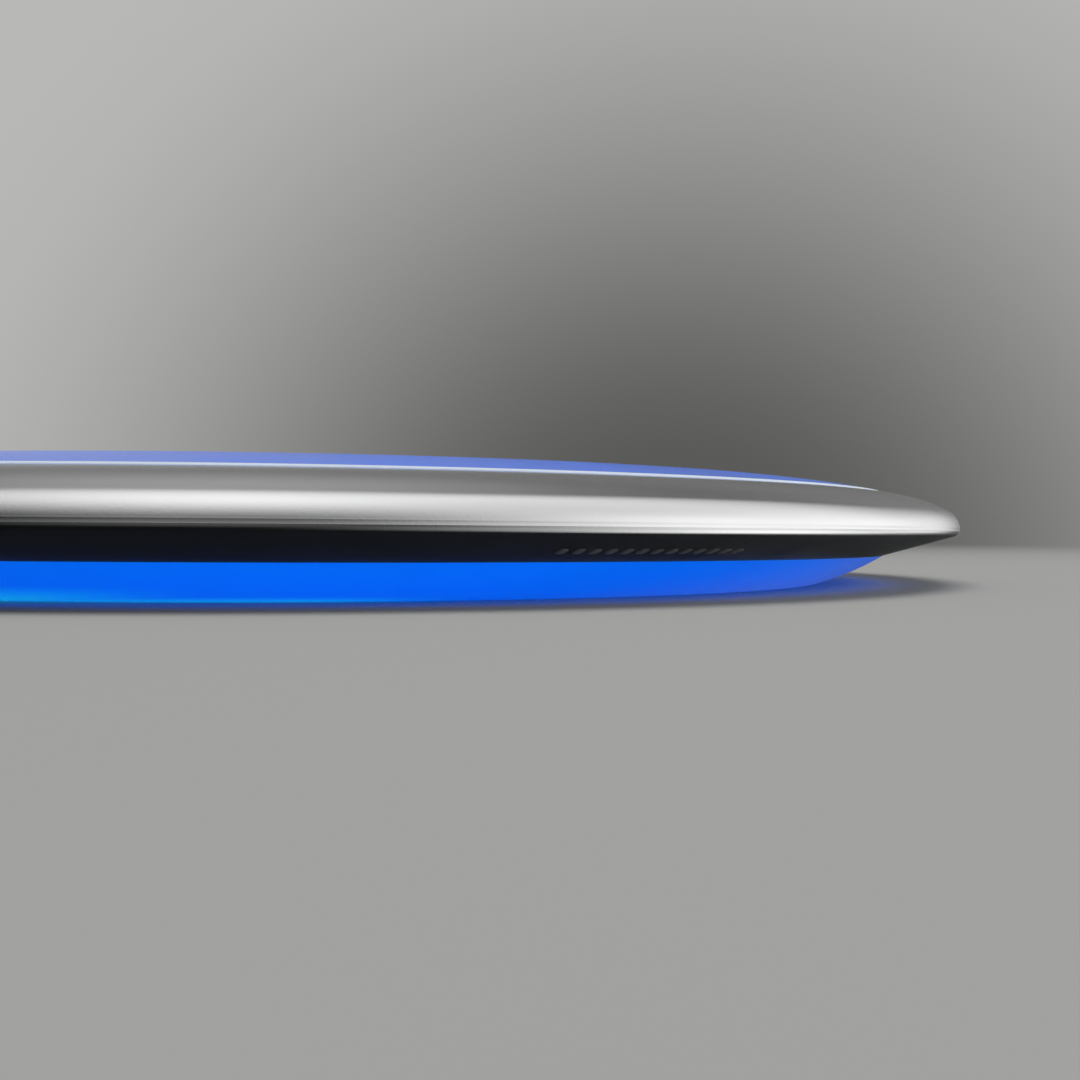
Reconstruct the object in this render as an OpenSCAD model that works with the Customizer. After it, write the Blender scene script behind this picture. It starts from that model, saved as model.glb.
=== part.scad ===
// Two-shot golf driver: a domed core with its inner rim, and a dense outer ring moulded round it.
// Z is up and the flat annular land at the foot of the rim lies on Z = 0.
// Every piece is a turned outline, drawn as points [radius, height].

/* [Disc] */
// Outside diameter at the nose
disc_d = 211; // [206:1:216]
// Height from the land to the middle of the top
disc_h = 16.5; // [15.6:0.1:17.4]
// Width of the rim, from the nose in to the inner wall
rim_width = 21.5; // [19.5:0.5:23.5]
// Width of the outer ring, from the nose in to the seam
ring_width = 10.5; // [9.5:0.1:11.5]

/* [Flight plate] */
// Thickness of the plate at its centre
plate_t = 1.9; // [1.6:0.1:2.4]
// Diameter of the gently domed middle of the top
crown_d = 148; // [130:2:156]
// Fall of the top from its centre to the edge of that middle
crown_drop = 1; // [0.6:0.1:1.4]
// Diameter over which the underside runs parallel to the top
under_crown_d = 136; // [120:2:144]
// Height of the core's top edge at the seam
core_edge_h = 13.3; // [12.9:0.1:13.7]
// Radius of the round on that edge
core_edge_round = 0.3; // [0.15:0.05:0.45]

/* [Inner rim] */
// Height from the land to the underside of the plate, at the inner wall
rim_depth = 12.2; // [11.4:0.1:12.6]
// Lean of the inner wall, for drawing it off the mould
wall_draft = 1.5; // [0.5:0.25:3]
// Radius of the fillet between the inner wall and the plate
inner_fillet = 2.4; // [1:0.2:4]
// Width of the flat land that the disc rests on
land_width = 0.9; // [0.5:0.1:2]
// Radius of the round between the land and the inner wall
land_round = 0.8; // [0.3:0.1:1.4]
// Angle at which the wing leaves the seam on the underside
wing_angle = 32; // [28:0.5:35]

/* [Outer ring] */
// How far the core's edge stands above the ring at the seam
seam_step = 0.3; // [0.1:0.05:0.5]
// Angle of the straight flank above the nose
flank_angle = 24; // [20:0.5:28]
// Length of that flank
flank_length = 1.4; // [0.6:0.1:2.4]
// Radius of the upper half of the nose
nose_round = 3; // [2.5:0.1:3.3]
// Height of the widest line of the nose above the land
nose_h = 7.9; // [7.7:0.05:8.1]
// Width of the rounded lower corner of the nose
nose_corner_width = 1.3; // [0.9:0.1:1.9]
// Height of that corner
nose_corner_h = 1.02; // [0.8:0.02:1.2]
// Slope of the ring's underside
under_angle = 16.1; // [14.5:0.1:18]
// Depth of the parting groove round the nose
groove_depth = 0.02; // [0.01:0.01:0.06]
// Width of that groove
groove_width = 0.5; // [0.3:0.05:0.7]

/* [Interlock] */
// Reach of the core's tongue into the ring
tongue_reach = 6; // [4.5:0.1:6.5]
// Thickness of the tongue
tongue_t = 1.7; // [1.2:0.1:2.2]
// Height of the tongue's middle above the land
tongue_h = 8.85; // [8.6:0.05:9.1]
// Number of keying holes through the tongue
key_count = 24; // [12:1:36]
// Diameter of a keying hole
key_d = 3.2; // [2:0.2:3.6]
// Distance of the keying holes' pitch circle outside the seam
key_inset = 2.9; // [2.4:0.1:3.1]

/* [Mould marks] */
// Diameter of the recess round the gate, under the centre of the plate
gate_recess_d = 9; // [6:0.5:14]
// Depth of that recess
gate_recess_depth = 0.5; // [0.2:0.1:0.8]
// Diameter of the gate's stub
gate_stub_d = 2.6; // [1.6:0.2:4]
// Height of the gate's stub
gate_stub_h = 0.4; // [0.1:0.05:0.5]
// Number of raised bars on the ring's underside
bar_count = 13; // [3:1:25]
// Spacing of the bars along their row
bar_pitch = 1.85; // [1.6:0.05:2.4]
// Width of a bar along the row
bar_width = 0.9; // [0.5:0.05:1.3]
// Length of a bar across the row
bar_length = 1.5; // [0.8:0.1:2.4]
// Height of a bar above the underside
bar_h = 0.1; // [0.06:0.01:0.25]
// Distance of the row inside the nose
bar_inset = 6.6; // [5.2:0.1:7.8]
// Bearing of the middle of the row, from -Y towards +X
bar_bearing = 21.7; // [0:0.1:45]

/* [Hidden] */
$fn = 180;
// Steps along an arc of each kind
long_steps = 10;
short_steps = 8;
// How far a cutter or a raised bar reaches past the surface that it crosses
overlap = 0.4;

disc_r = disc_d / 2;
seam_r = disc_r - ring_width;
wall_r = disc_r - rim_width;

// Points along the arc that leaves p at the given heading and ends at q
function arc_to(p, heading, q, steps) =
    let (chord = q - p, turn = chord_turn(p, heading, q))
    [for (i = [0:steps])
        let (t = i / steps)
        p + norm(chord) * sin(turn * t) / sin(turn) * [cos(heading + turn * t), sin(heading + turn * t)]];

// Half of the angle that such an arc turns through
function chord_turn(p, heading, q) =
    let (raw = atan2(q[1] - p[1], q[0] - p[0]) - heading)
    raw - 360 * round(raw / 360);

// Heading of such an arc where it ends
function end_heading(p, heading, q) = heading + 2 * chord_turn(p, heading, q);

// Points of an ellipse's arc about a centre, between two angles
function ellipse_arc(centre, a, b, from, to, steps) =
    [for (i = [0:steps])
        let (angle = from + (to - from) * i / steps)
        centre + [a * cos(angle), b * sin(angle)]];

// Top of the core: the crown, then the shoulder, which leaves the crown without a corner
crown_r = crown_d / 2;
apex = [0, disc_h];
knee = [crown_r, disc_h - crown_drop];
core_edge = [seam_r - core_edge_round, core_edge_h];
knee_heading = end_heading(apex, 0, knee);
crown_line = arc_to(apex, 0, knee, long_steps);
shoulder_line = arc_to(knee, knee_heading, core_edge, long_steps);
edge_centre = core_edge - [0, core_edge_round];
edge_line = ellipse_arc(edge_centre, core_edge_round, core_edge_round, 90, 0, short_steps);

// Outer ring: shoulder, flank and nose from the seam outwards, then the underside back to the seam
ring_seam = [seam_r, core_edge_h - seam_step];
nose_centre = [disc_r - nose_round, nose_h];
flank_out = nose_centre + nose_round * [sin(flank_angle), cos(flank_angle)];
flank_in = flank_out + flank_length * [-cos(flank_angle), sin(flank_angle)];
ring_shoulder_line = reversed(arc_to(flank_in, 180 - flank_angle, ring_seam, long_steps));
// The parting groove runs round the nose's widest line, with a bottom that is part of a parabola
groove_top_angle = asin(groove_width / 2 / nose_round);
groove_foot_angle = -asin(groove_width / 2 / nose_corner_h);
nose_line = ellipse_arc(nose_centre, nose_round, nose_round, 90 - flank_angle, groove_top_angle, short_steps);
groove_line = [
    for (i = [-0.5:0.5:0.5]) [disc_r - groove_depth * (1 - i * i), nose_h - groove_width / 2 * i]];
// The lower corner is part of an ellipse, left where its slope is that of the underside
corner_centre = [disc_r - nose_corner_width, nose_h];
corner_end = -atan2(nose_corner_h, nose_corner_width * tan(under_angle));
corner_line = ellipse_arc(
    corner_centre, nose_corner_width, nose_corner_h, groove_foot_angle, corner_end, short_steps);
corner_foot = corner_line[short_steps];
wing_seam = [seam_r, corner_foot[1] - (corner_foot[0] - seam_r) * tan(under_angle)];

// Foot of the core: the wing from the seam down to the land, and the round up to the inner wall
land_out = [wall_r + land_round + land_width, 0];
wing_line = arc_to(wing_seam, 180 + wing_angle, land_out, long_steps);
land_round_centre = [wall_r + land_round, land_round];
land_round_line = ellipse_arc(land_round_centre, land_round, land_round, 270, 180 + wall_draft, short_steps);
wall_foot = land_round_line[short_steps];

// Underside of the plate: fillet, a shoulder and the middle, which is parallel to the top
under_crown_r = under_crown_d / 2;
under_apex = apex - [0, plate_t];
under_knee = [under_crown_r, crown_height(under_crown_r) - plate_t];
wall_top_r = wall_foot[0] - (rim_depth - wall_foot[1]) * tan(wall_draft);
fillet_end = [wall_top_r - inner_fillet, rim_depth];
under_knee_heading = end_heading(under_apex, 0, under_knee);
under_crown_line = reversed(arc_to(under_apex, 0, under_knee, long_steps));
under_shoulder_line = reversed(arc_to(under_knee, under_knee_heading, fillet_end, long_steps));
under_end_heading = end_heading(under_knee, under_knee_heading, fillet_end);
fillet_foot_h = rim_depth - inner_fillet * cos(under_end_heading);
fillet_foot = [wall_top_r + (rim_depth - fillet_foot_h) * tan(wall_draft), fillet_foot_h];
fillet_line = reversed(arc_to(fillet_end, under_end_heading, fillet_foot, short_steps));

// Height of the top at a radius inside the crown
function crown_height(r) =
    let (crown_sphere_r = (crown_r * crown_r + crown_drop * crown_drop) / (2 * crown_drop))
    disc_h - crown_sphere_r + sqrt(crown_sphere_r * crown_sphere_r - r * r);

function reversed(list) = [for (i = [len(list) - 1:-1:0]) list[i]];

// The keying holes through the tongue, which the ring's plastic fills
module key_cylinders() {
    for (i = [0:key_count - 1])
        rotate(360 * i / key_count)
            translate([seam_r + key_inset, 0, tongue_h - tongue_t / 2 - overlap])
                cylinder(h = tongue_t + 2 * overlap, d = key_d);
}

// The tongue by itself: a flat ring with a round outer edge and the keying holes through it.
// It is rooted inside the core, and both pieces share it.
module tongue() {
    round_centre = [seam_r + tongue_reach - tongue_t / 2, tongue_h];
    round_edge = ellipse_arc(round_centre, tongue_t / 2, tongue_t / 2, -90, 90, short_steps);
    root_r = seam_r - overlap;
    difference() {
        rotate_extrude()
            polygon(concat(
                [[root_r, tongue_h - tongue_t / 2]], round_edge, [[root_r, tongue_h + tongue_t / 2]]));
        key_cylinders();
    }
}

// Core: flight plate, inner rim with its land, and the tongue that holds the ring
module core() {
    color("#0a62f0")
        difference() {
            union() {
                rotate_extrude()
                    polygon(concat(
                        crown_line, shoulder_line, edge_line, [wing_seam], wing_line,
                        land_round_line, fillet_line, under_shoulder_line, under_crown_line));
                tongue();
            }
            gate_recess();
        }
    color("#0a62f0")
        gate_stub();
}

// Shallow round recess under the centre of the plate
module gate_recess() {
    translate([0, 0, under_apex[1] - overlap])
        cylinder(h = gate_recess_depth + overlap, d = gate_recess_d);
}

// Stub that the gate leaves in the recess
module gate_stub() {
    translate([0, 0, under_apex[1] + gate_recess_depth - gate_stub_h])
        cylinder(h = gate_stub_h + overlap, d = gate_stub_d);
}

// Row of plain raised bars across the ring's underside
module raised_bars() {
    row_r = disc_r - bar_inset;
    bar_turn = bar_width / row_r * 180 / PI;
    pitch_turn = bar_pitch / row_r * 180 / PI;
    underside = [cos(under_angle), sin(under_angle)];
    outwards = [sin(under_angle), -cos(under_angle)];
    middle = wing_seam + (row_r - seam_r) / cos(under_angle) * underside;
    ends = [middle - bar_length / 2 * underside, middle + bar_length / 2 * underside];
    for (i = [0:bar_count - 1])
        rotate(bar_bearing - 90 + (i - (bar_count - 1) / 2) * pitch_turn - bar_turn / 2)
            rotate_extrude(angle = bar_turn)
                polygon([
                    ends[0] - overlap * outwards, ends[0] + bar_h * outwards,
                    ends[1] + bar_h * outwards, ends[1] - overlap * outwards]);
}

// Outer ring: one shot of dense soft plastic, moulded round the tongue and through its holes
module overmold_rim() {
    color("#17181a")
        difference() {
            union() {
                rotate_extrude()
                    polygon(concat(ring_shoulder_line, nose_line, groove_line, corner_line, [wing_seam]));
                raised_bars();
            }
            tongue();
        }
}

core();
overmold_rim();
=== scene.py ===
"""Two-shot golf driver disc: the turned core, the outer ring moulded round it, and a small studio.

Laid out as an add-on: each operator makes one piece, and main() calls them in order.
"""

import math

import bpy
import numpy as np
from bpy.props import FloatProperty, IntProperty, PointerProperty, StringProperty
from mathutils import Matrix, Vector


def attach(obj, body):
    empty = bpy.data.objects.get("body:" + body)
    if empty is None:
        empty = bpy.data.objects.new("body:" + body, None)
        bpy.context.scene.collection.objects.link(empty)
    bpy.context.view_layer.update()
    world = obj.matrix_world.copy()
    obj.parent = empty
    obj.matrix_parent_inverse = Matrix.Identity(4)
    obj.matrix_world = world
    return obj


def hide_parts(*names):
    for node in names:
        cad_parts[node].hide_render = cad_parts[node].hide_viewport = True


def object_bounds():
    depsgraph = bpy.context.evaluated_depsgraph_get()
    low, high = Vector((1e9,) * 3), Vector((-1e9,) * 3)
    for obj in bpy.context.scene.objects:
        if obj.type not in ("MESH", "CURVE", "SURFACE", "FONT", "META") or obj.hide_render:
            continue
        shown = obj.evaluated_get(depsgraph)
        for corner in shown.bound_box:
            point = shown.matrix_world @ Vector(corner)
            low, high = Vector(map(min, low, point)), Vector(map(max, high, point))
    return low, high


bl_info = {
    "name": "Golf driver disc",
    "version": (1, 0, 0),
    "blender": (4, 5, 0),
    "location": "3D View > Sidebar > Disc",
    "description": "Makes a two-shot golf driver disc around its packed CAD part, with a plain studio",
    "category": "Add Mesh",
}

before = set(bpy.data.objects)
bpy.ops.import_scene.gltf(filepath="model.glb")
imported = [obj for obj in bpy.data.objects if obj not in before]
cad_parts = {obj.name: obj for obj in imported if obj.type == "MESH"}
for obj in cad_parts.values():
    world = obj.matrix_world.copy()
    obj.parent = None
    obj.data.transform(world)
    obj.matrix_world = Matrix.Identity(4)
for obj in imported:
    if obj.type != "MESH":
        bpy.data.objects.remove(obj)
CAD_LOW, CAD_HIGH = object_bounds()

MM = 0.001
SAME_POINT = 1e-8  # points nearer than this, in metres, are one
CORE_STEPS, RING_STEPS = 480, 640  # round the axis, so many that the flats between them don't show
SHARP_EDGE = 30  # degrees between faces from which an edge is shaded sharp
# Half the width of the CAD part's box, taken on the side where its facets reach least far
CAD_REACH = min(CAD_HIGH.x, -CAD_LOW.x, CAD_HIGH.y, -CAD_LOW.y)


def size(mm, name, text):
    """A length property: its default is given in millimetres and kept in metres."""
    return FloatProperty(name=name, description=text, default=mm * MM, unit="LENGTH", precision=5)


def turn(degrees, name, text):
    """An angle property: its default is given in degrees and kept in radians."""
    return FloatProperty(name=name, description=text, default=math.radians(degrees), subtype="ANGLE")


def share(value, name, text):
    """A plain number between 0 and 1."""
    return FloatProperty(name=name, description=text, default=value, min=0, max=1, subtype="FACTOR")


def colour(value, name, text):
    """A colour property, kept as an sRGB hex value."""
    return StringProperty(name=name, description=text, default=value)


class DiscSizes(bpy.types.PropertyGroup):
    """Sizes of the disc, the same as the CAD part's."""

    disc_d: size(2 * CAD_REACH / MM, "Outside diameter", "Diameter at the nose")
    disc_h: size((CAD_HIGH.z - CAD_LOW.z) / MM, "Height", "From the land to the middle of the top")
    rim_width: size(21.5, "Rim width", "From the nose in to the inner wall")
    ring_width: size(10.5, "Ring width", "From the nose in to the seam")
    plate_t: size(1.9, "Plate thickness", "At its centre")
    crown_d: size(148, "Crown diameter", "Gently domed middle of the top")
    crown_drop: size(1, "Crown drop", "Fall of the top to the edge of that middle")
    under_crown_d: size(136, "Inner crown diameter", "Where the underside runs parallel to the top")
    core_edge_h: size(13.3, "Core edge height", "Height of the core's top edge at the seam")
    core_edge_round: size(0.3, "Core edge round", "Radius of the round on that edge")
    rim_depth: size(12.2, "Rim depth", "From the land to the underside of the plate")
    wall_draft: turn(1.5, "Wall draft", "Lean of the inner wall")
    inner_fillet: size(2.4, "Inner fillet", "Between the inner wall and the plate")
    land_width: size(0.9, "Land width", "Flat land that the disc rests on")
    land_round: size(0.8, "Land round", "Between the land and the inner wall")
    wing_angle: turn(32, "Wing angle", "Angle at which the wing leaves the seam")
    seam_step: size(0.3, "Seam step", "How far the core stands above the ring at the seam")
    flank_angle: turn(24, "Flank angle", "Of the straight flank above the nose")
    flank_length: size(1.4, "Flank length", "Of that flank")
    nose_round: size(3, "Nose round", "Radius of the upper half of the nose")
    nose_h: size(7.9, "Nose height", "Height of the nose's widest line")
    nose_corner_width: size(1.3, "Nose corner width", "Rounded lower corner of the nose")
    nose_corner_h: size(1.02, "Nose corner height", "Height of that corner")
    under_angle: turn(16.1, "Underside slope", "Slope of the ring's underside")
    groove_depth: size(0.02, "Groove depth", "Parting groove round the nose")
    groove_width: size(0.5, "Groove width", "Width of that groove")
    tongue_reach: size(6, "Tongue reach", "How far the core's tongue runs into the ring")
    tongue_t: size(1.7, "Tongue thickness", "Thickness of the tongue")
    tongue_h: size(8.85, "Tongue height", "Height of the tongue's middle")
    gate_recess_d: size(9, "Gate recess diameter", "Under the centre of the plate")
    gate_recess_depth: size(0.5, "Gate recess depth", "Depth of that recess")
    gate_stub_d: size(2.6, "Gate stub diameter", "Stub that the gate leaves")
    gate_stub_h: size(0.4, "Gate stub height", "Height of that stub")
    bar_count: IntProperty(name="Bars", description="Raised bars on the ring's underside", default=13, min=1)
    bar_pitch: size(1.85, "Bar pitch", "Spacing of the bars along their row")
    bar_width: size(0.9, "Bar width", "Width of a bar along the row")
    bar_length: size(1.5, "Bar length", "Length of a bar across the row")
    bar_h: size(0.1, "Bar height", "Above the underside")
    bar_inset: size(6.6, "Bar inset", "Distance of the row inside the nose")
    bar_bearing: turn(21.7, "Bar bearing", "Middle of the row, from -Y towards +X")


class DiscColours(bpy.types.PropertyGroup):
    """Colours and finish of the two plastics and of the stage."""

    core: colour("#006cf8", "Core", "Blue urethane of the core")
    # Painted light: a paler blue glow on the core's foot, standing in for light from below
    painted_foot_light: colour("#0cb6fc", "Foot glow", "Paler blue, painted on the core's foot")
    # Painted highlight: a pale line on the core's rounded edge at the seam, where the edge would mirror the
    # light
    seam_edge_highlight: colour("#e0ebfc", "Rubbed edge", "Pale line on the core's edge at the seam")
    ring: colour("#060708", "Ring", "Black rubbery plastic of the ring")
    bars: colour("#303132", "Bars", "The same plastic, rubbed dull where the bars stand proud")
    floor: colour("#a8a8a6", "Floor", "Plain painted board")
    backdrop: colour("#b8b8b6", "Backdrop", "Plain grey behind everything")
    backdrop_shade: colour("#575856", "Backdrop shade", "Its dark patch behind the disc's right half")
    core_gloss: share(0.2, "Core roughness", "Roughness of the core's polished skin")
    ring_gloss: share(0.2, "Ring roughness", "Roughness of the ring's satin skin")
    bars_gloss: share(0.45, "Bar roughness", "Roughness of the rubbed bars")


class StageSettings(bpy.types.PropertyGroup):
    """The camera's place and aim."""

    camera_back: size(216.275, "Camera distance", "From the disc's axis")
    camera_h: size(6.953, "Camera height", "Above the floor")
    camera_yaw: turn(11.182, "Camera yaw", "To the right of the disc's axis")
    camera_pitch: turn(-0.2655, "Camera pitch", "Above the horizon")
    camera_roll: turn(0.3652, "Camera roll", "Anticlockwise, seen from behind the camera")
    view_angle: turn(45.378, "Field of view", "Across the picture")


# ---------------------------------------------------------------- outlines


def arc_to(start, heading, end, steps):
    """Points of the circular arc that leaves start at a heading and ends at end, and its last heading.

    The chord meets the arc at half the angle it turns through. A point part of the way along lies at
    the chord's length times the ratio of the sines of its own and the whole half-angle.
    """
    start, end = np.asarray(start, float), np.asarray(end, float)
    chord = end - start
    raw = math.atan2(chord[1], chord[0]) - heading
    half = raw - math.tau * round(raw / math.tau)
    t = np.linspace(0, 1, steps + 1)
    reach = np.hypot(*chord) * np.sin(half * t) / math.sin(half)
    angle = heading + half * t
    return start + reach[:, None] * np.stack([np.cos(angle), np.sin(angle)], 1), heading + 2 * half


def ellipse_arc(centre, a, b, start, end, steps):
    """Points of an ellipse: centre plus a times the cosine and b times the sine of a running angle."""
    angle = np.linspace(start, end, steps + 1)
    return np.asarray(centre, float) + np.stack([a * np.cos(angle), b * np.sin(angle)], 1)


def straight(start, end, steps):
    """Evenly spaced points from start to end."""
    t = np.linspace(0, 1, steps + 1)[:, None]
    return (1 - t) * np.asarray(start, float) + t * np.asarray(end, float)


def join(*lines):
    """One outline from lines that meet end to end, with each shared point kept once."""
    points = np.concatenate(lines)
    keep = np.hypot(*np.diff(points, axis=0).T) > SAME_POINT
    return points[np.concatenate([[True], keep])]


def tongue_line(s, seam_r, steps):
    """Tongue's outline, from its lower root at the seam, round its edge, back to its upper root."""
    half = s.tongue_t / 2
    edge = ellipse_arc((seam_r + s.tongue_reach - half, s.tongue_h), half, half,
                       -math.pi / 2, math.pi / 2, steps)
    low = straight((seam_r, s.tongue_h - half), edge[0], steps=3)
    high = straight(edge[-1], (seam_r, s.tongue_h + half), steps=3)
    return join(low, edge, high)


def nose_parts(s):
    """Points and angles that the ring's outline and the core's foot share."""
    disc_r = s.disc_d / 2
    seam_r = disc_r - s.ring_width
    slope = math.tan(s.under_angle)
    corner_end = -math.atan2(s.nose_corner_h, s.nose_corner_width * slope)
    corner = ellipse_arc((disc_r - s.nose_corner_width, s.nose_h), s.nose_corner_width, s.nose_corner_h,
                         -math.asin(s.groove_width / 2 / s.nose_corner_h), corner_end, steps=20)
    foot = corner[-1]
    wing_seam = np.array([seam_r, foot[1] - (foot[0] - seam_r) * slope])
    return disc_r, seam_r, corner, wing_seam


def core_outline(s):
    """Core's outline from the middle of its top, over the edge, round tongue and foot, to the middle below.

    Arcs and lines meet as in the CAD part: crown, shoulder, edge, seam wall, tongue, wing, land,
    inner wall, fillet, underside, gate recess and gate stub.
    """
    disc_r, seam_r, _, wing_seam = nose_parts(s)
    wall_r = disc_r - s.rim_width
    crown_r, under_r = s.crown_d / 2, s.under_crown_d / 2
    apex, knee = (0, s.disc_h), (crown_r, s.disc_h - s.crown_drop)
    crown, knee_heading = arc_to(apex, 0, knee, steps=22)
    edge_r = s.core_edge_round
    shoulder, _ = arc_to(knee, knee_heading, (seam_r - edge_r, s.core_edge_h), steps=26)
    edge = ellipse_arc((seam_r - edge_r, s.core_edge_h - edge_r), edge_r, edge_r, math.pi / 2, 0, steps=10)
    tongue = tongue_line(s, seam_r, steps=8)[::-1]
    land_end = (wall_r + s.land_round + s.land_width, 0)
    wing, _ = arc_to(wing_seam, math.pi + s.wing_angle, land_end, steps=20)
    land_round = ellipse_arc((wall_r + s.land_round, s.land_round), s.land_round, s.land_round,
                             1.5 * math.pi, math.pi + s.wall_draft, steps=8)
    lean = math.tan(s.wall_draft)
    wall_foot = land_round[-1]
    wall_top_r = wall_foot[0] - (s.rim_depth - wall_foot[1]) * lean
    sphere_r = (crown_r**2 + s.crown_drop**2) / (2 * s.crown_drop)
    under_knee = (under_r, s.disc_h - sphere_r + math.sqrt(sphere_r**2 - under_r**2) - s.plate_t)
    under_apex = (0, s.disc_h - s.plate_t)
    fillet_end = (wall_top_r - s.inner_fillet, s.rim_depth)
    under_crown, heading = arc_to(under_apex, 0, under_knee, steps=22)
    under_shoulder, heading = arc_to(under_knee, heading, fillet_end, steps=12)
    foot_h = s.rim_depth - s.inner_fillet * math.cos(heading)
    fillet_foot = (wall_top_r + (s.rim_depth - foot_h) * lean, foot_h)
    fillet, _ = arc_to(fillet_end, heading, fillet_foot, steps=10)
    recess_r, stub_r = s.gate_recess_d / 2, s.gate_stub_d / 2
    recess_h = under_apex[1] + s.gate_recess_depth
    stub_h = recess_h - s.gate_stub_h
    outside_recess = 1.05 * recess_r
    under_crown = under_crown[under_crown[:, 0] > outside_recess]
    drop = recess_r**2 / (2 * sphere_r)
    gate = join(straight((recess_r, under_apex[1] - drop), (recess_r, recess_h), steps=2),
                straight((recess_r, recess_h), (stub_r, recess_h), steps=3),
                straight((stub_r, recess_h), (stub_r, stub_h), steps=2),
                straight((stub_r, stub_h), (0, stub_h), steps=2))
    return join(crown, shoulder, edge, tongue, straight(tongue[-1], wing_seam, steps=3), wing, land_round,
                straight(wall_foot, fillet[-1], steps=5), fillet[::-1], under_shoulder[::-1],
                under_crown[::-1], gate)


def ring_outline(s):
    """Ring's closed outline: shoulder, flank, nose, parting groove, lower corner, underside, then the slot.

    The parting groove's bottom is a parabola across its width, left open a little at both edges.
    """
    disc_r, seam_r, corner, wing_seam = nose_parts(s)
    lean, rise = math.sin(s.flank_angle), math.cos(s.flank_angle)
    centre = np.array([disc_r - s.nose_round, s.nose_h])
    flank_out = centre + s.nose_round * np.array([lean, rise])
    flank_in = flank_out + s.flank_length * np.array([-rise, lean])
    seam_top = (seam_r, s.core_edge_h - s.seam_step)
    shoulder, _ = arc_to(flank_in, math.pi - s.flank_angle, seam_top, steps=28)
    nose = ellipse_arc(centre, s.nose_round, s.nose_round, math.pi / 2 - s.flank_angle,
                       math.asin(s.groove_width / 2 / s.nose_round), steps=30)
    groove_share = 0.9
    across = np.linspace(-groove_share, groove_share, 9)
    groove_r = disc_r - s.groove_depth * (1 - across**2)
    groove = np.stack([groove_r, s.nose_h - s.groove_width / 2 * across], 1)
    slot_low = (seam_r, s.tongue_h - s.tongue_t / 2)
    slot_high = (seam_r, s.tongue_h + s.tongue_t / 2)
    return join(shoulder[::-1], straight(flank_in, flank_out, steps=5), nose, groove, corner,
                straight(corner[-1], wing_seam, steps=22), straight(wing_seam, slot_low, steps=2),
                tongue_line(s, seam_r, steps=8), straight(slot_high, shoulder[-1], steps=2))


# ---------------------------------------------------------------- meshes


def grid_faces(rows, columns, closed_rows):
    """Quads of a rows by columns grid of points, closed along its columns, and along its rows if asked."""
    i = np.arange(rows if closed_rows else rows - 1)[:, None]
    j = np.arange(columns)[None, :]
    i_next, j_next = (i + 1) % rows, (j + 1) % columns
    corners = [i * columns + j, i_next * columns + j, i_next * columns + j_next, i * columns + j_next]
    return np.stack([np.broadcast_to(c, (i.shape[0], columns)).ravel() for c in corners], 1)


def revolve(outline, around):
    """Surface of an outline turned round Z: radius times the cosine and sine of the bearing, at its height.

    An outline that starts and ends on the axis gets one point at each pole; any other is closed on itself.
    """
    bearing = np.arange(around) * math.tau / around
    on_axis = outline[0, 0] < SAME_POINT
    turned = outline[1:-1] if on_axis else outline[:-1]
    r, z = turned[:, :1], turned[:, 1:]
    points = np.stack([r * np.cos(bearing), r * np.sin(bearing), z + 0 * bearing], -1).reshape(-1, 3)
    quads = grid_faces(len(turned), around, not on_axis)
    if not on_axis:
        return points, [quads]
    top, low = len(points), len(points) + 1
    points = np.concatenate([points, [(0, 0, outline[0, 1]), (0, 0, outline[-1, 1])]])
    j = np.arange(around)
    j_next = (j + 1) % around
    last = (len(turned) - 1) * around
    return points, [quads, np.stack([0 * j + top, j, j_next], 1),
                    np.stack([0 * j + low, last + j_next, last + j], 1)]


def raised_bars(s):
    """Row of plain bars with rounded tops, one closed grid repeated round the axis.

    In plan a bar is a superellipse: the cosine and sine of a running angle, each raised to a power below
    one, which squares its corners. Its rings of points rise from the skirt to the top, and towards the top
    they draw in along a curve like a quarter ellipse, so its edges are round. The skirt and the closing
    floor lie inside the ring.
    """
    disc_r, seam_r, _, wing_seam = nose_parts(s)
    slope, out = math.cos(s.under_angle), math.sin(s.under_angle)
    row_r = disc_r - s.bar_inset
    skirt, rise_power, round_power, round_share, corner_power = 0.3 * MM, 0.6, 2.4, 0.55, 0.4
    up = np.linspace(0, 1, 7)
    height = np.concatenate([[-skirt], s.bar_h * up**rise_power])[:, None]
    drawn_in = 1 - round_share * (1 - np.sqrt(np.clip(1 - up**round_power, 0, 1)))
    plan = np.concatenate([[1.0], drawn_in])[:, None]
    angle = np.arange(28) * math.tau / 28
    u = np.sign(np.cos(angle)) * np.abs(np.cos(angle)) ** corner_power
    v = np.sign(np.sin(angle)) * np.abs(np.sin(angle)) ** corner_power
    along = plan * u * s.bar_width / 2
    across = plan * v * s.bar_length / 2
    middle = wing_seam + (row_r - seam_r) / slope * np.array([slope, out])
    r = middle[0] + across * slope + height * out
    z = middle[1] + across * out - height * slope
    pitch = s.bar_pitch / row_r
    bearings = s.bar_bearing + (np.arange(s.bar_count) - (s.bar_count - 1) / 2) * pitch - math.pi / 2
    quads = grid_faces(len(plan), len(angle), False)[:, ::-1]
    j = np.arange(len(angle))
    j_next = np.roll(j, -1)
    cap = (len(plan) - 1) * len(angle)
    points, faces = [], []
    for k, bearing in enumerate(bearings):
        turned = bearing + along / row_r
        shell = np.stack([r * np.cos(turned), r * np.sin(turned), z], -1).reshape(-1, 3)
        poles = np.stack([shell[:len(angle)].mean(0), shell[cap:].mean(0)])
        base = k * (len(shell) + 2)
        low, top = base + len(shell), base + len(shell) + 1
        points += [shell, poles]
        faces += [quads + base,
                  np.stack([0 * j + low, base + j_next, base + j], 1),
                  np.stack([0 * j + top, base + cap + j, base + cap + j_next], 1)]
    return np.concatenate(points), faces


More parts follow.
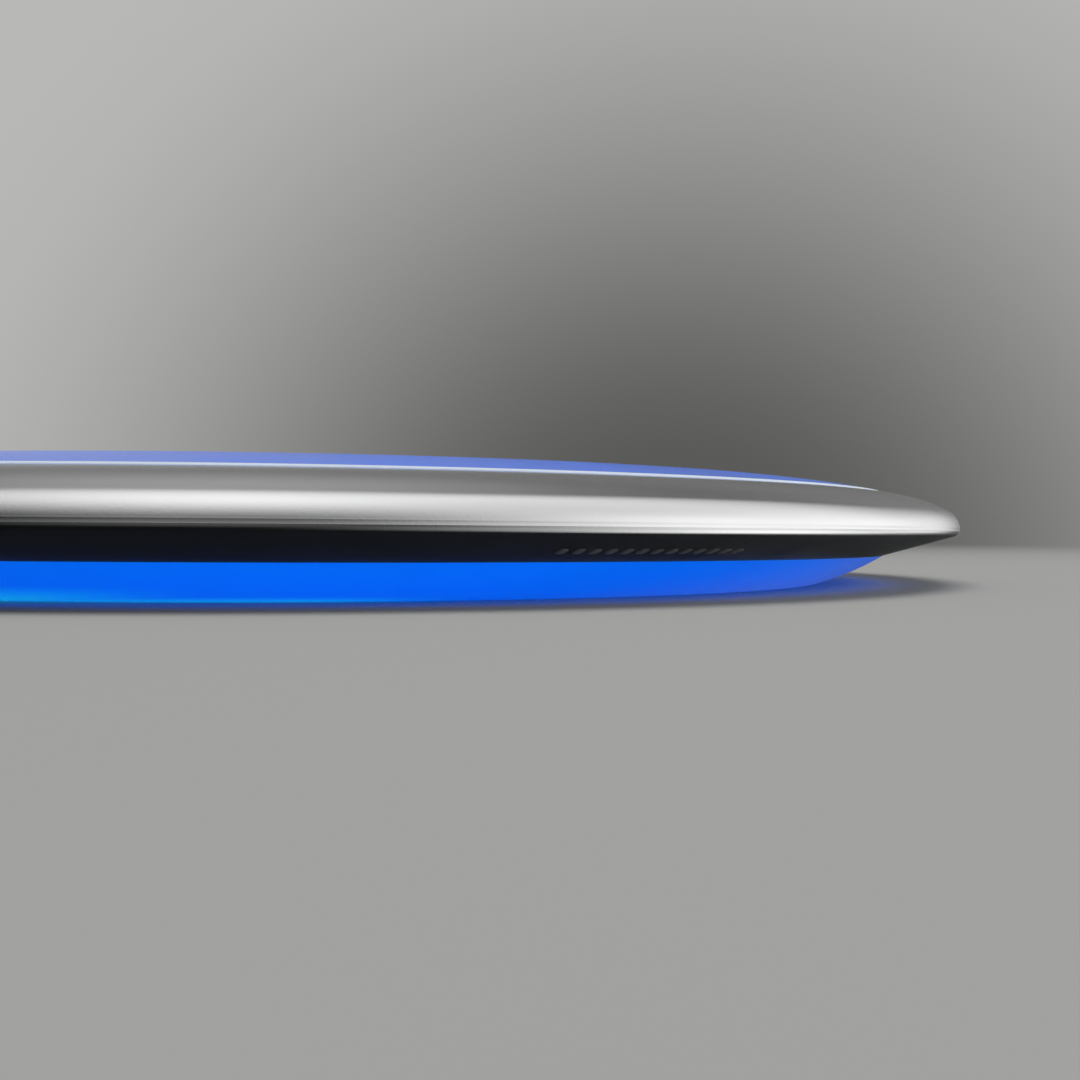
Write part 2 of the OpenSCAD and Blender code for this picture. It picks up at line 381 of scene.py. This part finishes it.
def make_mesh(name, points, faces, material):
    """A new object at the origin from points and arrays of faces, shaded smooth but for sharp edges."""
    mesh = bpy.data.meshes.new(name)
    counts = np.concatenate([np.full(len(f), f.shape[1]) for f in faces])
    corners = np.concatenate([f.ravel() for f in faces]).astype(np.int32)
    mesh.vertices.add(len(points))
    mesh.vertices.foreach_set("co", np.ascontiguousarray(points, np.float32).ravel())
    mesh.loops.add(len(corners))
    mesh.loops.foreach_set("vertex_index", corners)
    mesh.polygons.add(len(counts))
    starts = np.concatenate([[0], np.cumsum(counts)[:-1]]).astype(np.int32)
    mesh.polygons.foreach_set("loop_start", starts)
    mesh.update(calc_edges=True)
    mesh.validate()
    mesh.polygons.foreach_set("use_smooth", np.ones(len(mesh.polygons), bool))
    mesh.set_sharp_from_angle(angle=math.radians(SHARP_EDGE))
    mesh.materials.append(material)
    piece = bpy.data.objects.new(name, mesh)
    bpy.context.scene.collection.objects.link(piece)
    return piece


# ---------------------------------------------------------------- materials


def linear(hexadecimal):
    """Linear RGBA from an sRGB hex value."""
    srgb = [int(hexadecimal.lstrip("#")[k:k + 2], 16) / 255 for k in (0, 2, 4)]
    return [c / 12.92 if c <= 0.04045 else ((c + 0.055) / 1.055) ** 2.4 for c in srgb] + [1.0]


def add(tree, kind, inputs=None, **settings):
    """Adds a node, with its settings as attributes and its inputs as values or as sockets to link from."""
    made = tree.nodes.new(kind)
    for key, value in settings.items():
        setattr(made, key, value)
    for key, value in (inputs or {}).items():
        if isinstance(value, bpy.types.NodeSocket):
            tree.links.new(value, made.inputs[key])
        else:
            made.inputs[key].default_value = value
    return made


def new_material(name):
    """An empty node material and its tree."""
    material = bpy.data.materials.new(name)
    material.use_nodes = True
    material.node_tree.nodes.clear()
    return material, material.node_tree


def ramp(tree, value, low, high, to_low, to_high, kind="LINEAR"):
    """Maps a value's range low to high onto to_low to to_high, held at its ends."""
    return add(tree, "ShaderNodeMapRange", {"Value": value, 1: low, 2: high, 3: to_low, 4: to_high},
               interpolation_type=kind).outputs[0]


def combine(tree, operation, first, second):
    """One number from two, by a Math node such as MULTIPLY or MAXIMUM."""
    return add(tree, "ShaderNodeMath", {0: first, 1: second}, operation=operation).outputs[0]


def vector(tree, operation, *inputs, out="Vector"):
    """Result of a Vector Math node; out is Value for a length, a distance or a dot product."""
    return add(tree, "ShaderNodeVectorMath", dict(enumerate(inputs)), operation=operation).outputs[out]


def mix_colours(tree, share_of_second, first, second):
    """Mixes two colours."""
    return add(tree, "ShaderNodeMix", {"Factor": share_of_second, 6: first, 7: second},
               data_type="RGBA").outputs[2]


def noise(tree, place, per_metre, detail, **settings):
    """Noise with about so many patches to a metre."""
    inputs = {"Vector": place, "Scale": per_metre, "Detail": detail, **settings}
    return add(tree, "ShaderNodeTexNoise", inputs).outputs[0]


def object_place(tree):
    """Position in the object's own coordinates."""
    return add(tree, "ShaderNodeTexCoord").outputs["Object"]


# Painted light on the core's foot, paler glows that stand in for light from below, in millimetres: X where
# each is full and where it ends, the height where it starts to fade and where it ends, and its strength
PAINTED_FOOT_LIGHTS = (
    (0, 20, 0.1, 0.7, 0.6),  # thin line along the foot
    (-30, -6, 0.2, 1.9, 0.8),  # wide glow at the left
)


def cast_urethane_blue(colours, sizes):
    """Injection-moulded thermoplastic urethane: dyed right through, polished mould, slightly translucent.

    Gives a clean gloss with soft edges, colour that glows a little from inside, flow marks some tens of
    millimetres long, and a painted highlight: a pale line on the seam's rounded edge. Painted light at the
    foot on one side: a paler glow.
    """
    material, tree = new_material("urethane injection moulded polished blue")
    place = object_place(tree)
    # Flow marks about 26 mm long, and the polished mould's grain of about 0.4 mm
    flow = noise(tree, place, 38, 3, Roughness=0.5, Distortion=0.8)
    grain = noise(tree, place, 2600, 2)
    split = add(tree, "ShaderNodeSeparateXYZ", {"Vector": place})
    height = split.outputs["Z"]
    radius = vector(tree, "LENGTH", vector(tree, "MULTIPLY", place, (1, 1, 0)), out="Value")
    base = linear(colours.core)
    deepness = 0.94
    deep = [c * deepness for c in base[:3]] + [1]
    body = mix_colours(tree, ramp(tree, flow, 0.3, 0.7, 0, 1), deep, base)
    # Painted light on one side of the foot: a paler glow mixed into the colour, standing in for light from
    # below
    painted_lights = []
    for full_x, end_x, full_h, end_h, strength in PAINTED_FOOT_LIGHTS:
        sideways = ramp(tree, split.outputs["X"], full_x * MM, end_x * MM, 1, 0, "SMOOTHSTEP")
        upwards = ramp(tree, height, full_h * MM, end_h * MM, strength, 0, "SMOOTHSTEP")
        painted_lights.append(combine(tree, "MULTIPLY", sideways, upwards))
    body = mix_colours(tree, combine(tree, "MAXIMUM", *painted_lights), body, linear(colours.painted_foot_light))
    # Painted highlight: a pale line round the core's rounded top edge at the seam, mixed into the colour
    seam_r = sizes.disc_d / 2 - sizes.ring_width
    edge = ramp(tree, radius, seam_r - 0.56 * MM, seam_r - 0.21 * MM, 0, 1, "SMOOTHSTEP")
    above = ramp(tree, height, sizes.core_edge_h - 0.5 * MM, sizes.core_edge_h - 0.2 * MM, 0, 0.95)
    rubbed = combine(tree, "MULTIPLY", edge, above)
    body = mix_colours(tree, rubbed, body, linear(colours.seam_edge_highlight))
    rough = ramp(tree, flow, 0.3, 0.7, colours.core_gloss - 0.03, colours.core_gloss + 0.04)
    bump = add(tree, "ShaderNodeBump", {"Height": grain, "Strength": 0.12, "Distance": 0.02 * MM})
    shader = add(tree, "ShaderNodeBsdfPrincipled", {
        "Base Color": body, "Roughness": rough, "IOR": 1.5, "Subsurface Weight": 0.25,
        "Subsurface Radius": (0.3, 0.6, 1.6), "Subsurface Scale": 1.2 * MM, "Normal": bump.outputs[0]})
    add(tree, "ShaderNodeOutputMaterial", {"Surface": shader.outputs[0]})
    return material


def overmoulded_tpe_black(name, body, gloss):
    """Thermoplastic rubber moulded over the core: carbon-black filled, from a fine spark-eroded mould.

    Gives a deep black body under a satin sheen, cloudy patches a few millimetres across where the skin
    cooled unevenly, and a fine pebble grain.
    """
    material, tree = new_material(name)
    place = object_place(tree)
    # Cloudy patches of about 6 mm, and pebbles of about 0.3 mm
    cloud = noise(tree, place, 160, 4, Roughness=0.6)
    grain = noise(tree, place, 3200, 2)
    rough = ramp(tree, cloud, 0.3, 0.7, gloss - 0.015, gloss + 0.02)
    bump = add(tree, "ShaderNodeBump", {"Height": grain, "Strength": 0.25, "Distance": 0.03 * MM})
    shader = add(tree, "ShaderNodeBsdfPrincipled", {
        "Base Color": linear(body), "Roughness": rough, "IOR": 1.5, "Normal": bump.outputs[0]})
    add(tree, "ShaderNodeOutputMaterial", {"Surface": shader.outputs[0]})
    return material


# ---------------------------------------------------------------- stage


def direction(bearing, height):
    """Unit vector at a bearing from -Y towards +X and a height above the horizon, both in degrees."""
    b, h = math.radians(bearing), math.radians(height)
    return Vector((math.sin(b) * math.cos(h), -math.cos(b) * math.cos(h), math.sin(h)))


# Softboxes that light every piece but don't show in its gloss: name, bearing and height in degrees,
# distance, width and length in metres, and radiance
LAMPS = (
    ("overhead_softbox", 0, 78, 1.2, 1.2, 1.0, 1.9),
    ("right_panel", 80, 10, 1.1, 0.8, 0.9, 1.5),
    ("under_fill", 0, -55, 0.9, 1.0, 0.6, 3.5),
)
# Soft lobes of light that only a glossy skin shows, each a radiance, a bearing, a height and the angle
# within which it falls away, in degrees: panels for the ring, a bank behind it, cards for the core. The
# ring's are placed for the view from the front, and far above white, because its black skin mirrors only
# about a twenty-fifth of them
RING_LOBES = (
    (20, -10, 66, 60),  # panel overhead, a little in front
    (20, 56, 8, 60),  # tall panel at the right
    (4, 104, 8, 36),  # its edge, wrapped round behind
    (7, 96, 50, 38),  # its top, leaning over
    (3, 116, -14, 20),  # its foot
    (3, -10, 14, 48),  # low fill in front
    (1.6, -10, -38, 45),  # bounce from the front, below
    (11, 78, -42, 48),  # bounce from the right, below
    (6, 109, -43, 29),  # the same, further round
)
BANK_LOBES = (
    (3, -165, 70, 44),  # bank behind the disc, high up
)
CORE_LOBES = (
    (1.1, -30, 62, 40),  # card over the dome
    (0.1, 146, -12, 26),  # bounce that the wing's right end finds
)
SHADE_DIRECTION = (163, -5)  # bearing and height of the middle of the backdrop's dark patch, in degrees
SHADE_ANGLES = (6, 36)  # degrees from there at which it starts to pale and is all pale
SOFT_LEVEL = 0.35  # of the even light from all round
HORIZON = (-0.06, 0.02)  # heights between which reflections turn from the floor's shade to the backdrop
FLOOR_SHADE = 0.02  # level of that shade
FLOOR_RINGS = (0.1, 0.3, 1, 3, 9)  # radii of the board's rings of points, in metres
FLOOR_STEPS = 64  # round the board
FLOOR_FADE = (0.15, 1.2)  # distances between which the board runs out into the backdrop, in metres
NOSE_R, NOSE_H = 105 * MM, 8 * MM  # the nose, which mirrors the panels
PANEL_FALL = (-50 * MM, -25 * MM)  # a panel is gone and is full this far behind its part of the nose
TENT_STEPS = (33, 48)  # from pole to pole and round a tent


def tent_material(name, lobes, front_only):
    """Glow of a light tent: the sum of lobes, each falling smoothly with the angle from its own direction.

    With front_only set, a panel glows only for rays that set out near one part of the nose: half-way round
    between the panel and the front, where a camera in front finds it mirrored. Seen from behind it is mostly
    gone, so that such strong panels don't turn the whole ring white there. How far a ray has come, taken
    from how far it ends from that part, says where it set out.
    """
    material, tree = new_material(name)
    place = object_place(tree)
    toward = vector(tree, "NORMALIZE", place)
    total = None
    for radiance, bearing, height, spread in lobes:
        cosine = vector(tree, "DOT_PRODUCT", toward, direction(bearing, height), out="Value")
        angle = add(tree, "ShaderNodeMath", {0: cosine}, operation="ARCCOSINE").outputs[0]
        lobe = ramp(tree, angle, 0, math.radians(spread), radiance, 0, "SMOOTHSTEP")
        total = lobe if total is None else combine(tree, "ADD", total, lobe)
    if front_only:
        halfway = vector(tree, "ADD", toward, direction(0, 0))
        halfway = vector(tree, "NORMALIZE", vector(tree, "MULTIPLY", halfway, (1, 1, 0)))
        part = vector(tree, "MULTIPLY_ADD", halfway, (NOSE_R, NOSE_R, 0), (0, 0, NOSE_H))
        away = vector(tree, "DISTANCE", place, part, out="Value")
        come = add(tree, "ShaderNodeLightPath").outputs["Ray Length"]
        near = ramp(tree, combine(tree, "SUBTRACT", away, come), *PANEL_FALL, 0, 1, "SMOOTHSTEP")
        total = combine(tree, "MULTIPLY", total, near)
    glow = add(tree, "ShaderNodeEmission", {"Strength": total})
    clear = add(tree, "ShaderNodeBsdfTransparent")
    both = add(tree, "ShaderNodeAddShader", {0: glow.outputs[0], 1: clear.outputs[0]})
    add(tree, "ShaderNodeOutputMaterial", {"Surface": both.outputs[0]})
    material.cycles.emission_sampling = "NONE"
    return material


def ball(radius, rows, columns):
    """Sphere: a half circle of points turned round Z."""
    a = np.linspace(math.pi / 2, -math.pi / 2, rows)
    line = np.stack([radius * np.cos(a), radius * np.sin(a)], 1)
    line[0, 0] = line[-1, 0] = 0
    return revolve(line, columns)


def area_light(name, bearing, height, far, width, length, radiance):
    """Rectangular softbox of a given radiance, far away in a direction, aimed at the disc's middle."""
    lamp = bpy.data.lights.new(name, "AREA")
    lamp.shape = "RECTANGLE"
    lamp.size, lamp.size_y = width, length
    watts_per_area = 4
    lamp.energy = radiance * watts_per_area * width * length
    made = bpy.data.objects.new(name, lamp)
    bpy.context.scene.collection.objects.link(made)
    away = direction(bearing, height)
    made.location = Vector((0, 0, NOSE_H)) + away * far
    made.rotation_mode = "QUATERNION"
    made.rotation_quaternion = away.to_track_quat("Z", "Y")
    made.visible_camera = made.visible_glossy = False


def light_tent(name, radius, lobes, lit_name, front_only=False):
    """Sphere of lobes, its radius in metres, that one named piece reflects and nothing else sees."""
    points, faces = ball(radius, *TENT_STEPS)
    tent = make_mesh(name, points, faces, tent_material(name + " cloth", lobes, front_only))
    tent.visible_camera = tent.visible_diffuse = tent.visible_transmission = False
    tent.visible_shadow = tent.visible_volume_scatter = False
    lit = bpy.data.collections.new("lit by " + name)
    lit.objects.link(bpy.data.objects[lit_name])
    tent.light_linking.receiver_collection = lit


def backdrop_tone(tree, toward, colours):
    """Backdrop's grey: dark in one direction, and lighter with the angle away from it."""
    cosine = vector(tree, "DOT_PRODUCT", toward, direction(*SHADE_DIRECTION), out="Value")
    angle = add(tree, "ShaderNodeMath", {0: cosine}, operation="ARCCOSINE").outputs[0]
    dark_within, pale_from = math.radians(SHADE_ANGLES[0]), math.radians(SHADE_ANGLES[1])
    return mix_colours(tree, ramp(tree, angle, dark_within, pale_from, 0, 1, "SMOOTHSTEP"),
                       linear(colours.backdrop_shade), linear(colours.backdrop))


def floor_material(colours, stage):
    """Plain painted board, seen from above only, that runs out into the backdrop's grey.

    The far grey is the backdrop's as the camera in front finds it. It is worked out from that camera's
    fixed place, so it stays put on the board in other views.
    """
    material, tree = new_material("painted board matt pale grey")
    place = object_place(tree)
    far = vector(tree, "LENGTH", place, out="Value")
    toward = vector(tree, "NORMALIZE", vector(tree, "ADD", place, (0, stage.camera_back, 0)))
    paint = add(tree, "ShaderNodeBsdfDiffuse", {"Color": linear(colours.floor)})
    tone = backdrop_tone(tree, toward, colours)
    horizon = add(tree, "ShaderNodeEmission", {"Color": tone, "Strength": 1.0})
    faded = add(tree, "ShaderNodeMixShader", {0: ramp(tree, far, *FLOOR_FADE, 0, 1, "SMOOTHSTEP"),
                                             1: paint.outputs[0], 2: horizon.outputs[0]})
    clear = add(tree, "ShaderNodeBsdfTransparent")
    side = add(tree, "ShaderNodeNewGeometry").outputs["Backfacing"]
    both = add(tree, "ShaderNodeMixShader", {0: side, 1: faded.outputs[0], 2: clear.outputs[0]})
    add(tree, "ShaderNodeOutputMaterial", {"Surface": both.outputs[0]})
    material.cycles.emission_sampling = "NONE"
    return material


def make_world(colours):
    """Backdrop for what is seen and reflected, and an even level for soft light.

    Below the horizon reflections find the dark of the floor's shade.
    """
    world = bpy.data.worlds.new("studio")
    world.use_nodes = True
    tree = world.node_tree
    tree.nodes.clear()
    toward = add(tree, "ShaderNodeTexCoord").outputs["Generated"]
    up = add(tree, "ShaderNodeSeparateXYZ", {"Vector": toward}).outputs["Z"]
    path = add(tree, "ShaderNodeLightPath")
    camera_ray = path.outputs["Is Camera Ray"]
    level = ramp(tree, up, *HORIZON, FLOOR_SHADE, 1, "SMOOTHSTEP")
    dim = combine(tree, "MAXIMUM", level, camera_ray)
    tone = backdrop_tone(tree, toward, colours)
    seen = add(tree, "ShaderNodeBackground", {"Color": tone, "Strength": dim})
    soft = add(tree, "ShaderNodeBackground", {"Color": (1, 1, 1, 1), "Strength": SOFT_LEVEL})
    shiny = combine(tree, "MAXIMUM", camera_ray, path.outputs["Is Glossy Ray"])
    shown = combine(tree, "MAXIMUM", shiny, path.outputs["Is Transmission Ray"])
    both = add(tree, "ShaderNodeMixShader", {0: shown, 1: soft.outputs[0], 2: seen.outputs[0]})
    add(tree, "ShaderNodeOutputWorld", {"Surface": both.outputs[0]})
    bpy.context.scene.world = world


def make_floor(colours, stage):
    """Round board on the rest plane, one-sided, that casts no shadow and isn't reflected."""
    line = np.array([(r, 0) for r in FLOOR_RINGS], float)
    bearing = np.arange(FLOOR_STEPS) * math.tau / FLOOR_STEPS
    points = np.stack([line[:, :1] * np.cos(bearing), line[:, :1] * np.sin(bearing),
                       0 * line[:, :1] + 0 * bearing], -1).reshape(-1, 3)
    points = np.concatenate([points, [(0, 0, 0)]])
    j = np.arange(FLOOR_STEPS)
    centre = np.stack([0 * j + len(points) - 1, j, np.roll(j, -1)], 1)
    floor = make_mesh("floor", points, [grid_faces(len(line), FLOOR_STEPS, False), centre],
                      floor_material(colours, stage))
    floor.visible_shadow = False
    floor.visible_glossy = False


def make_camera(stage):
    """Camera a hand's breadth in front of the disc, level with its nose and turned to its right half."""
    data = bpy.data.cameras.new("camera")
    data.sensor_width = 36
    data.lens = data.sensor_width / 2 / math.tan(stage.view_angle / 2)
    data.clip_start, data.clip_end = 0.005, 100
    camera = bpy.data.objects.new("camera", data)
    bpy.context.scene.collection.objects.link(camera)
    pitch = Matrix.Rotation(math.pi / 2 + stage.camera_pitch, 4, "X")
    yaw = Matrix.Rotation(-stage.camera_yaw, 4, "Z")
    roll = Matrix.Rotation(stage.camera_roll, 4, "Z")
    camera.matrix_world = Matrix.Translation((0, -stage.camera_back, stage.camera_h)) @ yaw @ pitch @ roll
    bpy.context.scene.camera = camera


# ---------------------------------------------------------------- operators


class DISC_OT_core(bpy.types.Operator):
    """Make the core: flight plate, inner rim and tongue, turned from one outline"""

    bl_idname = "disc.core"
    bl_label = "Core"

    def execute(self, context):
        scene = context.scene
        points, faces = revolve(core_outline(scene.disc_sizes), CORE_STEPS)
        material = cast_urethane_blue(scene.disc_colours, scene.disc_sizes)
        core = make_mesh("driver_core", points, faces, material)
        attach(core, "root")
        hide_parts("core")
        return {"FINISHED"}


class DISC_OT_ring(bpy.types.Operator):
    """Make the outer ring and the row of plain raised bars on its underside"""

    bl_idname = "disc.ring"
    bl_label = "Outer ring"

    def execute(self, context):
        scene = context.scene
        colours = scene.disc_colours
        material = overmoulded_tpe_black("thermoplastic rubber overmoulded satin black",
                                         colours.ring, colours.ring_gloss)
        points, faces = revolve(ring_outline(scene.disc_sizes), RING_STEPS)
        ring = make_mesh("driver_outer_ring", points, faces, material)
        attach(ring, "root")
        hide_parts("overmold_rim")
        points, faces = raised_bars(scene.disc_sizes)
        material = overmoulded_tpe_black("thermoplastic rubber overmoulded rubbed black",
                                         colours.bars, colours.bars_gloss)
        bars = make_mesh("driver_raised_bars", points, faces, material)
        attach(bars, "root")
        return {"FINISHED"}


class DISC_OT_stage(bpy.types.Operator):
    """Make the floor, the backdrop, the lights and the camera"""

    bl_idname = "disc.stage"
    bl_label = "Stage"

    def execute(self, context):
        scene = context.scene
        scene.view_settings.view_transform = "Standard"
        make_floor(scene.disc_colours, scene.disc_stage)
        light_tent("ring_panels", 1.5, RING_LOBES, "driver_outer_ring", front_only=True)
        light_tent("ring_bank", 1.6, BANK_LOBES, "driver_outer_ring")
        light_tent("core_cards", 1.7, CORE_LOBES, "driver_core")
        for lamp in LAMPS:
            area_light(*lamp)
        make_world(scene.disc_colours)
        make_camera(scene.disc_stage)
        return {"FINISHED"}


class DISC_PT_panel(bpy.types.Panel):
    """Sidebar panel that lists the pieces"""

    bl_idname = "DISC_PT_panel"
    bl_label = "Golf driver disc"
    bl_space_type = "VIEW_3D"
    bl_region_type = "UI"
    bl_category = "Disc"

    def draw(self, context):
        for operator in (DISC_OT_core, DISC_OT_ring, DISC_OT_stage):
            self.layout.operator(operator.bl_idname)
        for group in (context.scene.disc_sizes, context.scene.disc_colours, context.scene.disc_stage):
            for name in group.__annotations__:
                self.layout.prop(group, name)


CLASSES = (DiscSizes, DiscColours, StageSettings, DISC_OT_core, DISC_OT_ring, DISC_OT_stage, DISC_PT_panel)


def register():
    """Registers the classes and hangs the settings on the scene."""
    for cls in CLASSES:
        bpy.utils.register_class(cls)
    bpy.types.Scene.disc_sizes = PointerProperty(type=DiscSizes)
    bpy.types.Scene.disc_colours = PointerProperty(type=DiscColours)
    bpy.types.Scene.disc_stage = PointerProperty(type=StageSettings)


def unregister():
    """Takes the settings and the classes away again."""
    del bpy.types.Scene.disc_stage, bpy.types.Scene.disc_colours, bpy.types.Scene.disc_sizes
    for cls in reversed(CLASSES):
        bpy.utils.unregister_class(cls)


def main():
    register()
    bpy.ops.disc.core()
    bpy.ops.disc.ring()
    bpy.ops.disc.stage()


if __name__ == "__main__":
    main()
